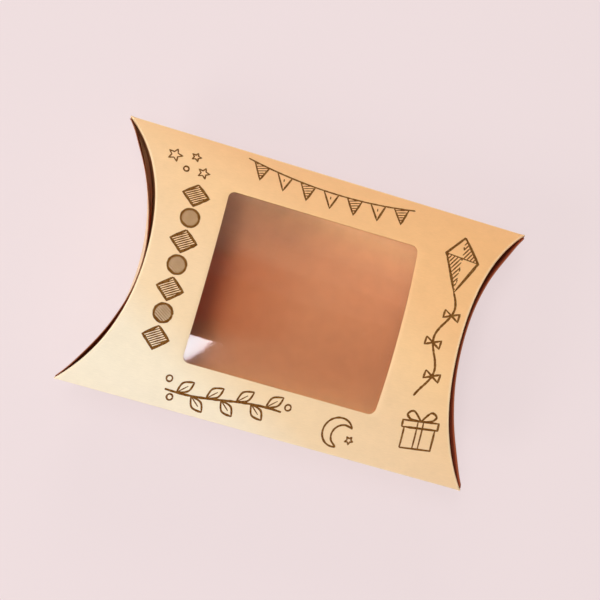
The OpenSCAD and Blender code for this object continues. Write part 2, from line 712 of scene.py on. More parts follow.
@dataclass(frozen=True)
class CutEdge(Finish):
    """Die-cut edge of kraft board: furry, browner than the outer face, and mottled
    about as coarsely as one of the sheet's three plies is thick."""

    name: str = "die_cut_board_edge"
    colour: str = "#D9AE7C"
    ply: str = "#B98854"
    ply_height: float = 0.16
    roughness: float = 0.85

    def surface(self, tree: Tree, where: Socket) -> Socket:
        """Adds the mottled edge.

        Args:
            tree: Node tree of the material.
            where: Object coordinates.

        Returns:
            The shader.
        """
        plies = add_node(
            tree,
            "ShaderNodeTexNoise",
            {"Vector": where, "Scale": 1 / (self.ply_height * MM), "Detail": 2.0},
        ).outputs["Fac"]
        colour = add_node(
            tree,
            "ShaderNodeMix",
            {"Factor": plies, MIX_FIRST: linear(self.colour), MIX_SECOND: linear(self.ply)},
            data_type="RGBA",
        ).outputs[MIX_COLOUR]
        return add_node(
            tree,
            "ShaderNodeBsdfPrincipled",
            {"Base Color": colour, "Roughness": self.roughness, "IOR": BOARD_IOR},
        ).outputs["BSDF"]


@dataclass(frozen=True)
class PrintInk(Finish):
    """Dark brown flexographic ink on kraft board: matte and slightly mottled, with the
    paper showing through where it is thin."""

    name: str = "flexo_print_ink"
    dense: str = "#683A0E"
    thin: str = "#966A34"
    mottle: float = 1.1
    roughness: float = 0.7
    gloss: float = 0.1

    def surface(self, tree: Tree, where: Socket) -> Socket:
        """Adds the mottled ink.

        Args:
            tree: Node tree of the material.
            where: Object coordinates.

        Returns:
            The shader.
        """
        mottle = add_node(
            tree,
            "ShaderNodeTexNoise",
            {"Vector": where, "Scale": 1 / (self.mottle * MM), "Detail": 3.0, "Roughness": 0.6},
        ).outputs["Fac"]
        share = add_node(
            tree, "ShaderNodeMapRange", {"Value": mottle, "From Min": 0.4, "From Max": 0.75}
        ).outputs["Result"]
        colour = add_node(
            tree,
            "ShaderNodeMix",
            {"Factor": share, MIX_FIRST: linear(self.dense), MIX_SECOND: linear(self.thin)},
            data_type="RGBA",
        ).outputs[MIX_COLOUR]
        return add_node(
            tree,
            "ShaderNodeBsdfPrincipled",
            {"Base Color": colour, "Roughness": self.roughness, "Specular IOR Level": self.gloss},
        ).outputs["BSDF"]


@dataclass(frozen=True)
class ClearFilm(Finish):
    """Clear polyester film, cast and die-cut: glossy, colourless and faintly rippled."""

    name: str = "clear_polyester_film"
    tint: str = "#F4F0EE"
    haze_ior: float = 1.15
    haze_roughness: float = 0.12
    gloss_ior: float = 1.6
    gloss_roughness: float = 0.04
    ripple_size: float = 34.0
    ripple_depth: float = 0.2

    def surface(self, tree: Tree, where: Socket) -> Socket:
        """Adds the film's haze and gloss.

        Args:
            tree: Node tree of the material.
            where: Object coordinates.

        Returns:
            The shader.
        """
        ripple = add_node(
            tree,
            "ShaderNodeTexNoise",
            {"Vector": where, "Scale": 1 / (self.ripple_size * MM), "Detail": 1.0},
        ).outputs["Fac"]
        bump = add_node(
            tree,
            "ShaderNodeBump",
            {"Height": ripple, "Strength": 0.6, "Distance": self.ripple_depth * MM},
        ).outputs["Normal"]
        # A sheet this thin shifts nothing that is seen through it, so its full index is
        # left to the gloss on its faces, and the body only spreads a faint haze round a lamp
        film = add_node(
            tree,
            "ShaderNodeBsdfPrincipled",
            {
                "Base Color": linear(self.tint),
                "Roughness": self.haze_roughness,
                "IOR": self.haze_ior,
                "Transmission Weight": 1.0,
                "Coat Weight": 1.0,
                "Coat IOR": self.gloss_ior,
                "Coat Roughness": self.gloss_roughness,
                "Coat Normal": bump,
            },
        ).outputs["BSDF"]
        # Film this thin lets lamps through, where solid glass would shade what is behind it
        clear = add_node(
            tree, "ShaderNodeBsdfTransparent", {"Color": linear(self.tint)}
        ).outputs["BSDF"]
        lamp = add_node(tree, "ShaderNodeLightPath").outputs["Is Shadow Ray"]
        return add_node(
            tree, "ShaderNodeMixShader", {0: lamp, 1: film, 2: clear}
        ).outputs["Shader"]


@dataclass(frozen=True)
class DriedGlue(Finish):
    """Dried dispersion glue: an off-white, slightly glossy bead that was pressed flat."""

    name: str = "dried_dispersion_glue"
    colour: str = "#EADFC8"
    roughness: float = 0.4
    ior: float = 1.48
    lump_size: float = 2.5
    lump_depth: float = 0.05

    def surface(self, tree: Tree, where: Socket) -> Socket:
        """Adds the lumpy glue.

        Args:
            tree: Node tree of the material.
            where: Object coordinates.

        Returns:
            The shader.
        """
        lumps = add_node(
            tree,
            "ShaderNodeTexNoise",
            {"Vector": where, "Scale": 1 / (self.lump_size * MM), "Detail": 2.0},
        ).outputs["Fac"]
        bump = add_node(
            tree,
            "ShaderNodeBump",
            {"Height": lumps, "Strength": 0.4, "Distance": self.lump_depth * MM},
        ).outputs["Normal"]
        return add_node(
            tree,
            "ShaderNodeBsdfPrincipled",
            {
                "Base Color": linear(self.colour),
                "Roughness": self.roughness,
                "IOR": self.ior,
                "Normal": bump,
            },
        ).outputs["BSDF"]


@dataclass(frozen=True)
class StudioPaper(Finish):
    """Matte background paper, seamless and pale pink: even, with no grain that shows."""

    name: str = "seamless_background_paper"
    colour: str = "#EEDEDF"
    roughness: float = 0.9
    # How much of its even tone covers its shading near the box
    evenness: float = 0.8
    # Distances in metres between which it sweeps up out of the shade
    sweep: tuple[float, float] = (0.45, 1.3)

    def surface(self, tree: Tree, where: Socket) -> Socket:
        """Adds the paper.

        Args:
            tree: Node tree of the material.
            where: Object coordinates.

        Returns:
            The shader.
        """
        paper = add_node(
            tree,
            "ShaderNodeBsdfPrincipled",
            {
                "Base Color": linear(self.colour),
                "Roughness": self.roughness,
                "Specular IOR Level": 0.0,
            },
        ).outputs["BSDF"]
        # The camera, gloss and film see the paper's even tone under part of its shading
        even = add_node(
            tree, "ShaderNodeEmission", {"Color": linear(self.colour), "Strength": 1.0}
        ).outputs["Emission"]
        # Far from the box the paper sweeps up out of the shade, so no horizon shows
        distance = add_node(
            tree, "ShaderNodeVectorMath", {0: where}, operation="LENGTH"
        ).outputs["Value"]
        evenness = add_node(
            tree,
            "ShaderNodeMapRange",
            {
                "Value": distance,
                "From Min": self.sweep[0],
                "From Max": self.sweep[1],
                "To Min": self.evenness,
                "To Max": 1.0,
            },
        ).outputs["Result"]
        share = add_node(
            tree, "ShaderNodeMath", {0: background_seen(tree), 1: evenness}, operation="MULTIPLY"
        ).outputs["Value"]
        return add_node(
            tree, "ShaderNodeMixShader", {0: share, 1: paper, 2: even}
        ).outputs["Shader"]


@dataclass
class Finishes:
    """The materials of the box, each built once."""

    outside: Material = field(default_factory=KraftBoard().build)
    inside: Material = field(
        default_factory=KraftBoard(
            name="kraft_board_inside",
            # Painted shade and light: redder and darker in the depth of the left end, and paler
            # where the sides start to rise
            tones_with_painted_light_and_shade=(
                (0.25, "#DC5E28"),
                (0.28, "#CC7B4B"),
                (0.33, "#D39062"),
                (0.40, "#D79566"),
                (0.52, "#E6A874"),
                (0.68, "#F7C389"),
                (0.85, "#DA9666"),
            ),
            drift_with_painted_light=(1.0, 0.0, 30.0),
            drift_with_painted_light_start=0.3,
            worn_and_highlit="#D09468",
            roughness=0.8,
            cloud_depth=0.05,
        ).build
    )
    # The inner flaps' outer face in a darker, browner copy of the board: painted shade for the
    # slits at the ends
    tucked: Material = field(
        default_factory=KraftBoard(
            name="kraft_board_of_tucked_flaps",
            tones_with_painted_light_and_shade=((0.0, "#D29A62"), (1.0, "#D0945C")),
            gloss=0.15,
        ).build
    )
    # The flaps' inner face, painted dark red-brown as the shade in the slits at the ends
    shaded: Material = field(
        default_factory=KraftBoard(
            name="kraft_board_inside_of_flaps",
            tones_with_painted_light_and_shade=((0.0, "#A9563A"), (1.0, "#A55035")),
            worn_and_highlit="#BC7A50",
            roughness=0.85,
            gloss=0.0,
            cloud_depth=0.05,
        ).build
    )
    edge: Material = field(default_factory=CutEdge().build)
    # The flaps' cut edge, painted darker as the shade along the slits at the ends
    flap_edge_painted_shade: Material = field(
        default_factory=CutEdge(name="cut_edge_of_flaps", colour="#A0623A", ply="#84482A").build
    )
    ink: Material = field(default_factory=PrintInk().build)
    film: Material = field(default_factory=ClearFilm().build)
    glue: Material = field(default_factory=DriedGlue().build)

    @property
    def board(self) -> list[Material]:
        """The outer face, inner face and cut edge of the panels."""
        return [self.outside, self.inside, self.edge]

    @property
    def flap(self) -> list[Material]:
        """The same faces of an outer flap, whose inner face and edge are painted darker and
        redder as shade.
        """
        return [self.outside, self.shaded, self.flap_edge_painted_shade]

    @property
    def inner_flap(self) -> list[Material]:
        """The same faces of an inner flap, whose outer face is also painted browner as shade."""
        return [self.tucked, self.shaded, self.flap_edge_painted_shade]


# ---- Pieces of the box ------------------------------------------------------


@dataclass
class Window:
    """The window in the front panel and the clear film behind it."""

    shape: BoxShape
    finishes: Finishes
    half_length: float = 57.5
    low_y: float = -52.0
    high_y: float = 50.0
    corner: float = 4.0
    corner_steps: int = 4
    film: float = 0.2
    film_depth: float = 0.56
    film_margin: float = 9.0
    columns: int = 96
    rows: int = 88
    # The film sags this far at most, and gets there over this way in from the rim
    sag: float = 0.35
    sag_edge: float = 14.0
    # Distances from the window's near left corner between which the sag sets in
    taut_corner: tuple[float, float] = (24.0, 50.0)
    # Lengths of its waves for each radian along X, along Y and aslant, and their phases
    waves: Triple = (17.0, 23.0, 60.0)
    phases: tuple[float, float] = (0.8, 0.5)

    def rim_point(self, side: Side, step: int, steps: int) -> Point:
        """Point of the window's rim.

        Args:
            side: Stretch of the rim, from the middle of one corner to the next.
            step: Index of the point along that stretch.
            steps: Number of steps in the stretch.

        Returns:
            The point's x and y.
        """
        r, bend = self.corner, self.corner_steps
        middle_y = (self.low_y + self.high_y) / 2
        half_height = (self.high_y - self.low_y) / 2
        # The stretch as it lies on the right side: out is away from the middle
        out, run = (
            (self.half_length, half_height) if side.is_end else (half_height, self.half_length)
        )
        if step < bend:
            angle = -math.pi / 4 * (1 - step / bend)
            a, b = out - r + r * math.cos(angle), -run + r + r * math.sin(angle)
        elif step > steps - bend:
            angle = math.pi / 4 * (1 - (steps - step) / bend)
            a, b = out - r + r * math.cos(angle), run - r + r * math.sin(angle)
        else:
            a, b = out, (run - r) * (2 * (step - bend) / (steps - 2 * bend) - 1)
        turns = {
            Side.RIGHT_END: (a, b),
            Side.FAR_SIDE: (-b, a),
            Side.LEFT_END: (-a, -b),
            Side.NEAR_SIDE: (b, -a),
        }
        x, y = turns[side]
        return x, middle_y + y

    def film_point(self, across: float, up: float) -> Vector:
        """Point of the film's outer face.

        Args:
            across: Place along the box, from 0 to 1.
            up: Place across its width, from 0 to 1.

        Returns:
            The point in millimetres.
        """
        low, high = self.low_y - self.film_margin, self.high_y + self.film_margin
        y = low + (high - low) * up
        inset = corner_inset(self.corner, self.corner - min(y - low, high - y))
        x = (2 * across - 1) * (self.half_length + self.film_margin - inset)
        free = min(self.half_length - abs(x), self.high_y - y, y - self.low_y)
        # The front panel glares in the film's near left corner, which lies taut
        from_corner = math.hypot(x + self.half_length, y - self.low_y)
        calm = smooth_step(0.0, self.sag_edge, free) * smooth_step(*self.taut_corner, from_corner)
        wave = math.sin(x / self.waves[0] + self.phases[0])
        wave *= math.cos(y / self.waves[1] - self.phases[1] + x / self.waves[2])
        return self.shape.on_front(x, y, self.film_depth + self.sag * (0.5 + 0.5 * wave) * calm)

    def build_film(self) -> None:
        """Makes the film, which follows the bow of the panel and sags a little."""
        film = drape_grid("window_film_sheet", self.columns, self.rows, self.film_point)
        dress(film, [self.finishes.film] * 3)
        thicken(film, self.film, 0.0)
        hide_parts("window_film")
        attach(film, "box")
        report("film behind the window", film)


@dataclass
class FrontBoard:
    """The front panel, with its window and the rounded folds all round it."""

    shape: BoxShape
    finishes: Finishes
    window: Window
    end_steps: int = 72
    side_steps: int = 80
    rings: int = 24
    ring_crowding: float = 1.7
    fold_steps: int = 6
    eased: float = 0.1
    # Wear and painted highlight of the folds at the end and side creases, the share of them that
    # fades over the fold, and how far they reach onto the panel
    end_wear_and_highlight: float = 0.5
    side_wear_and_highlight: float = 0.3
    wear_and_highlight_fade: float = 0.8
    wear_and_highlight_width: float = 0.9
    columns: list[tuple[Point, list[Fold]]] = field(init=False)

    def __post_init__(self) -> None:
        """Pairs each point of the window's rim with the folds on the outline.

        Each column of the grid gets one pair, and the first is repeated at the end. A
        corner has two folds, of which the panel takes the middle.
        """
        self.columns = []
        for side in Side:
            steps = self.end_steps if side.is_end else self.side_steps
            for step in range(steps):
                folds = [front_fold(self.shape, side, step / steps)]
                if step == 0:
                    folds.append(front_fold(self.shape, side.before, 1.0))
                self.columns.append((self.window.rim_point(side, step, steps), folds))
        self.columns.append(self.columns[0])

    def cell(self, across: float, up: float) -> tuple[int, int]:
        """Column and row of the grid at two shares, each from 0 to 1."""
        return round(across * (len(self.columns) - 1)), round(up * (self.rings + self.fold_steps))

    def point(self, across: float, up: float) -> Vector:
        """Point of the panel's outer face.

        Args:
            across: Place round the window, from 0 to 1.
            up: Place from the window's rim to the end of the fold, from 0 to 1.

        Returns:
            The point in millimetres.
        """
        column, row = self.cell(across, up)
        rim, folds = self.columns[column]
        if row > self.rings:
            share = (row - self.rings) / self.fold_steps
            return sum((fold.point(share) for fold in folds), Vector()) / len(folds)
        edge = sum((fold.start() for fold in folds), Vector()) / len(folds)
        t = 1 - (1 - row / self.rings) ** self.ring_crowding
        x = rim[0] * (1 - t) + edge.x * t
        y = rim[1] * (1 - t) + edge.y * t
        return self.shape.on_front(x, y)

    def wear(self, across: float, up: float) -> float:
        """How far the folds have stretched the panel's outer face, which also sets the painted
        highlight along them.

        Args:
            across: Place round the window, from 0 to 1.
            up: Place from the window's rim to the end of the fold, from 0 to 1.

        Returns:
            The wear and painted highlight, from 0 to 1.
        """
        column, row = self.cell(across, up)
        on_end = column % (self.end_steps + self.side_steps) <= self.end_steps
        strength = self.end_wear_and_highlight if on_end else self.side_wear_and_highlight
        if row > self.rings:
            return strength * (1 - self.wear_and_highlight_fade * (row - self.rings) / self.fold_steps)
        rim, folds = self.columns[column]
        run = math.dist(rim, folds[0].corner.to_2d())
        away = run * (1 - row / self.rings) ** self.ring_crowding
        return strength * (1 - smooth_step(0.0, self.wear_and_highlight_width, away))

    def build(self) -> None:
        """Makes the panel."""
        columns, rows = self.cell(1.0, 1.0)
        panel = drape_grid("front_board", columns, rows, self.point, flip=True, wear=self.wear)
        dress(panel, self.finishes.board)
        thicken(panel, self.shape.board, self.eased)
        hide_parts("front_panel")
        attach(panel, "box")
        report("front panel", panel)


@dataclass
class BackBoard:
    """The back panel and the tab that is glued inside its side crease."""

    shape: BoxShape
    finishes: Finishes
    columns: int = 90
    rows: int = 72
    fold_steps: int = 6
    eased: float = 0.1
    tab_columns: int = 60
    tab_rows: int = 10
    tab_depth: float = 0.6
    # The tab starts this far inside the side crease, and reaches its width from it
    tab_inset: float = 1.0
    tab_width: float = 14.0
    tab_half_length: float = 107.5
    tab_taper: float = 6.0
    half_y: float = field(init=False)

    def __post_init__(self) -> None:
        """Finds how far the panel reaches between the front panel's two side folds."""
        self.half_y = front_fold(self.shape, Side.FAR_SIDE, 0.5).end().y

    @property
    def steps(self) -> int:
        """Faces of the panel along the box, with the folds at both ends."""
        return self.columns + 2 * self.fold_steps

    def panel_point(self, across: float, up: float) -> Vector:
        """Point of the panel's outer face.

        Args:
            across: Place along the box, from 0 to 1.
            up: Place across its width, from 0 to 1.

        Returns:
            The point in millimetres.
        """
        y = (2 * up - 1) * self.half_y
        column = round(across * self.steps)
        from_end = min(column, self.steps - column)
        fold = back_fold(self.shape, End.LEFT if column * 2 < self.steps else End.RIGHT, y)
        if from_end < self.fold_steps:
            return fold.point(1 - from_end / self.fold_steps)
        x = (2 * (column - self.fold_steps) / self.columns - 1) * abs(fold.start().x)
        return self.shape.on_back(x, y)

    def panel_wear_and_highlight(self, across: float, up: float) -> float:
        """How far the end folds have stretched the outer face, with their painted highlight, the
        same at any width.
        """
        column = round(across * self.steps)
        # The wear and painted highlight end half a column past the fold
        return 1 - smooth_step(0.0, self.fold_steps + 0.5, min(column, self.steps - column))

    def tab_point(self, across: float, up: float) -> Vector:
        """Point of the tab's inner face.

        Args:
            across: Place along the box, from 0 to 1.
            up: Place from the side crease inwards, from 0 to 1.

        Returns:
            The point in millimetres.
        """
        y = -self.shape.half_width + self.tab_inset + (self.tab_width - self.tab_inset) * up
        x = (2 * across - 1) * (self.tab_half_length - self.tab_taper * up)
        return self.shape.on_back(x, y, self.tab_depth + self.shape.board)

    def build_panel(self) -> None:
        """Makes the panel."""
        panel = drape_grid(
            "back_board", self.steps, self.rows, self.panel_point, flip=True, wear=self.panel_wear_and_highlight
        )
        dress(panel, self.finishes.board)
        thicken(panel, self.shape.board, self.eased)
        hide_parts("back_panel")
        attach(panel, "box")
        report("back panel", panel)

    def build_tab(self) -> None:
        """Makes the glued tab."""
        tab = drape_grid("glued_tab", self.tab_columns, self.tab_rows, self.tab_point)
        dress(tab, [self.finishes.inside, self.finishes.outside, self.finishes.edge])
        thicken(tab, self.shape.board, self.eased)
        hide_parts("seam_tab")
        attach(tab, "box")
        report("glued tab", tab)


@dataclass
class EndFlaps:
    """The two flaps of one end: the inner one is folded in first, then the outer one."""

    shape: BoxShape
    finishes: Finishes
    end: End
    # How far the outer flap's free edge stands off the front crease, from near to far
    stand_off: tuple[float, ...]
    columns: int = 78
    rows: int = 14
    eased: float = 0.1
    outer_relief: float = 2.0
    inner_relief: float = 5.0
    outer_drop: float = 1.0
    inner_reach: float = 4.0
    corner: float = 2.5
    # Way from a flap's crease along which its inner face is drawn back while the flap is baked
    outer_curl: float = 46.0
    inner_curl: float = 30.0
    # How far the inner face is drawn back while the flap is baked
    lag: float = 0.55

    @property
    def side(self) -> Side:
        """The stretch of the front panel's outline at this end."""
        return Side.RIGHT_END if self.end is End.RIGHT else Side.LEFT_END

    def name(self, kind: str) -> str:
        """Name that this end gives to a node or body of that kind."""
        return f"{self.end.name.lower()}_{kind}"

    def corner_cut(self, y: float, limit: float) -> float:
        """How far the corner at a flap's limit takes its free edge back at y."""
        return corner_inset(self.corner, abs(y) - (limit - self.corner))

    def outer_point(self, across: float, up: float) -> Vector:
        """Point of the outer flap's outer face.

        Args:
            across: Place across the width, from 0 to 1.
            up: Place from the crease to the free edge, from 0 to 1.

        Returns:
            The point in millimetres.
        """
        shape = self.shape
        limit = shape.half_width - self.outer_relief
        y = (2 * across - 1) * limit * self.end.value
        root = back_fold(shape, self.end, y).end()
        share = (shape.front.rise - self.outer_drop) / shape.front.rise
        top = shape.crease_z + share * shape.front.height(y) - self.corner_cut(y, limit)
        # The gap is measured square to the crease, so it is longer along X
        turn = math.hypot(1.0, shape.front_crease.slope(y))
        gap = smooth_between(self.stand_off, (y / shape.half_width + 1) / 2)
        tip_x = shape.back_crease_x(shape.back_crease.half_width)
        edge_x = min(shape.blunted(shape.front_crease_x(y) + gap * turn), tip_x)
        x = root.x + (self.end.value * edge_x - root.x) * up
        return Vector((x, y, root.z + (top - root.z) * up))

    def inner_point(self, across: float, up: float) -> Vector:
        """Point of the inner flap's outer face.

        Args:
            across: Place across the width, from 0 to 1.
            up: Place from the free edge to the crease, from 0 to 1.

        Returns:
            The point in millimetres.
        """
        shape = self.shape
        limit = shape.half_width - self.inner_relief
        y = (2 * across - 1) * limit * self.end.value
        root = front_fold(shape, self.side, (self.end.value * y / shape.half_width + 1) / 2).end()
        s = y / shape.half_width
        low = shape.crease_z - self.inner_reach * (1 - s * s) + self.corner_cut(y, limit)
        return Vector((root.x, y, low + (root.z - low) * up))

    def bend(self, flap: Piece, kind: str, tip: Vector, curl: Vector) -> None:
        """Bakes a flap's place into its mesh, with its inner face drawn back meanwhile.

        Args:
            flap: The finished flap.
            kind: Which flap of this end it is, "outer" or "inner".
            tip: Middle of its crease, in millimetres. Not used.
            curl: Way from the crease along which the inner face is drawn back, in millimetres.
        """
        faces = [face for face in flap.data.polygons if face.material_index == INNER_SLOT]
        inner = {index for face in faces for index in face.vertices}
        # The inner face is drawn back while the flap's place is baked into its mesh, and then put
        # back
        back = curl.normalized() * self.lag * MM
        for index in inner:
            flap.data.vertices[index].co -= back
        self.name(kind)
        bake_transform(flap)
        for index in inner:
            flap.data.vertices[index].co += back

    def build_outer(self) -> None:
        """Makes the outer flap, which turns on the back panel's crease."""
        flap = drape_grid(self.name("outer_board"), self.columns, self.rows, self.outer_point)
        dress(flap, self.finishes.flap)
        thicken(flap, self.shape.board, self.eased)
        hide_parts(self.name("outer_flap"))
        curl = Vector((-self.end.value, 0.0, 1.0)).normalized() * self.outer_curl
        self.bend(flap, "outer", back_fold(self.shape, self.end, 0.0).corner, curl)
        report(self.name("outer_flap"), flap)

    def build_inner(self) -> None:
        """Makes the inner flap, which hangs from the front panel's crease."""
        flap = drape_grid(self.name("inner_board"), self.columns, self.rows, self.inner_point)
        dress(flap, self.finishes.inner_flap)
        thicken(flap, self.shape.board, self.eased)
        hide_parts(self.name("inner_flap"))
        curl = Vector((-self.end.value, 0.0, -1.0)).normalized() * self.inner_curl
        self.bend(flap, "inner", front_fold(self.shape, self.side, 0.5).corner, curl)
        report(self.name("inner_flap"), flap)


# ---- Print on the front panel -----------------------------------------------


@dataclass
class Stroke:
    """One pen stroke: its points in millimetres and its half width at each."""

    points: list[Point]
    widths: list[float]


@dataclass
class Pen:
    """Collects hand-drawn strokes and lays them on the front panel."""

    shape: BoxShape
    strokes: list[Stroke] = field(default_factory=list)
    origin: Point = (0.0, 0.0)
    turn: float = 0.0
    size: float = 1.0
    # Half width of a plain stroke
    line: float = 0.52
    # How far the ink stands proud of the board, and how flat a round stroke is pressed
    proud: float = 0.02
    flatten: float = 0.025
    curve_steps: int = 6
    rule_steps: int = 5
    # How much a stroke's width wavers, how thin it starts, and how fast it widens
    waver: float = 0.16
    thin_end: float = 0.62
    widening: float = 0.2
    # A dot's points along X and its half widths there, as shares of its radius
    dot_profile: tuple[Point, ...] = ((-0.35, 0.75), (-0.175, 0.95), (0.175, 0.95), (0.35, 0.75))
    # Room left free before a hatching's first and after its last stroke, as shares of
    # the spacing
    hatch_room: tuple[float, float] = (0.7, 0.3)

    def move(self, origin: Point, turn: float = 0.0, size: float = 1.0) -> None:
        """Moves the motif's middle to origin, turned by degrees, with units of this size."""
        self.origin, self.turn, self.size = origin, math.radians(turn), size

    def to_panel(self, point: Point) -> Point:
        """Turns a point of the motif into its place on the panel.

        Args:
            point: The point in the motif's own units.

        Returns:
            Its x and y in millimetres.
        """
        x, y = point[0] * self.size, point[1] * self.size
        c, s = math.cos(self.turn), math.sin(self.turn)
        return self.origin[0] + c * x - s * y, self.origin[1] + s * x + c * y

    def draw(self, points: Sequence[Point], width: float = 1.0, closed: bool = False) -> None:
        """Draws a smooth stroke through points, as a hand would.

        Args:
            points: Points that the stroke passes.
            width: Width as a share of the pen's line.
            closed: Whether the stroke returns to its first point.
        """
        path = list(points) + ([points[0]] if closed else [])
        before = points[-1] if closed else path[0]
        after = points[1] if closed else path[-1]
        guide = [before] + path + [after]
        smooth: list[Point] = []
        for i in range(len(path) - 1):
            for k in range(self.curve_steps):
                t = k / self.curve_steps
                smooth.append(tuple(smooth_span(*along, t) for along in zip(*guide[i : i + 4])))
        self.ink(smooth + [path[-1]], width)

    def rule(self, points: Sequence[Point], width: float = 1.0, closed: bool = False) -> None:
        """Draws straight strokes from point to point.

        Args:
            points: Points that the stroke passes.
            width: Width as a share of the pen's line.
            closed: Whether the stroke returns to its first point.
        """
        path = list(points) + ([points[0]] if closed else [])
        dense: list[Point] = []
        for a, b in zip(path, path[1:]):
            for k in range(self.rule_steps):
                t = k / self.rule_steps
                dense.append((a[0] + (b[0] - a[0]) * t, a[1] + (b[1] - a[1]) * t))
        self.ink(dense + [path[-1]], width)

    def ring(self, centre: Point, radius: float) -> None:
        """Draws a closed round stroke."""
        self.draw(arc(centre, radius, range(0, 360, 30)), closed=True)

    def dot(self, centre: Point, radius: float) -> None:
        """Draws a filled dot.

        Args:
            centre: Its middle, in the motif's own units.
            radius: Its radius in millimetres.
        """
        x, y = self.to_panel(centre)
        points = [(x + radius * along, y) for along, _ in self.dot_profile]
        self.strokes.append(Stroke(points, [radius * width for _, width in self.dot_profile]))

    def ink(self, points: Sequence[Point], width: float) -> None:
        """Keeps a stroke, with a wavering width and thinner ends.

        Args:
            points: Points of the stroke in the motif's own units.
            width: Width as a share of the pen's line.
        """
        placed = [self.to_panel(p) for p in points]
        last = len(placed) - 1
        widths = []
        for i, (x, y) in enumerate(placed):
            # Slow waves over the panel, so that each stroke wavers in its own way
            wave = math.sin(0.9 * x + 1.7 * y) * math.cos(0.5 * x - 0.8 * y)
            ends = min(1.0, self.thin_end + self.widening * min(i, last - i))
            widths.append(self.line * width * (1 + self.waver * wave) * ends)
        self.strokes.append(Stroke(placed, widths))

    def hatch(self, outline: Sequence[Point], spacing: float, angle: float, width: float) -> None:
        """Fills a convex outline with parallel strokes.

        Args:
            outline: Corners of the outline in the motif's own units.
            spacing: Distance between strokes in those units.
            angle: Direction of the strokes, in degrees.
            width: Width as a share of the pen's line.
        """
        a = math.radians(angle)
        along, across = (math.cos(a), math.sin(a)), (-math.sin(a), math.cos(a))
        level = [p[0] * across[0] + p[1] * across[1] for p in outline]
        at = min(level) + spacing * self.hatch_room[0]
        while at < max(level) - spacing * self.hatch_room[1]:
            hits: list[float] = []
            for i, (p, low) in enumerate(zip(outline, level)):
                q, high = outline[(i + 1) % len(outline)], level[(i + 1) % len(level)]
                if (low - at) * (high - at) < 0:
                    t = (at - low) / (high - low)
                    x, y = p[0] + (q[0] - p[0]) * t, p[1] + (q[1] - p[1]) * t
                    hits.append(x * along[0] + y * along[1])
            if len(hits) == 2:
                ends = [
                    (h * along[0] + at * across[0], h * along[1] + at * across[1])
                    for h in sorted(hits)
                ]
                self.rule(ends, width)
            at += spacing

    def build(self, name: str, material: Material) -> None:
        """Turns the strokes into a thin layer of ink on the panel.

        Args:
            name: Name of the new piece.
            material: The ink.
        """
        bpy.ops.object.select_all(action="DESELECT")
        curve = bpy.data.curves.new(name, "CURVE")
        curve.dimensions = "3D"
        curve.twist_mode = "Z_UP"
        # A bevel of one unit, which each point's radius turns into the stroke's half width
        curve.bevel_depth = 1.0
        curve.bevel_resolution = 1
        curve.use_fill_caps = True
        for stroke in self.strokes:
            spline = curve.splines.new("POLY")
            spline.points.add(len(stroke.points) - 1)
            for point, (x, y), width in zip(spline.points, stroke.points, stroke.widths):
                point.co = (x, y, 0.0, 1.0)
                point.radius = width
        piece = bpy.data.objects.new(name, curve)
        bpy.context.collection.objects.link(piece)
        select_only(piece)
        bpy.ops.object.convert(target="MESH")
        piece = bpy.context.object
        for vertex in piece.data.vertices:
            x, y, z = vertex.co
            vertex.co = self.shape.on_front(x, y, -(self.proud + z * self.flatten)) * MM
        bpy.ops.object.shade_smooth_by_angle(angle=math.radians(INK_SMOOTH_ANGLE))
        dress(piece, [material])
        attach(piece, "box")
        report(name, piece)


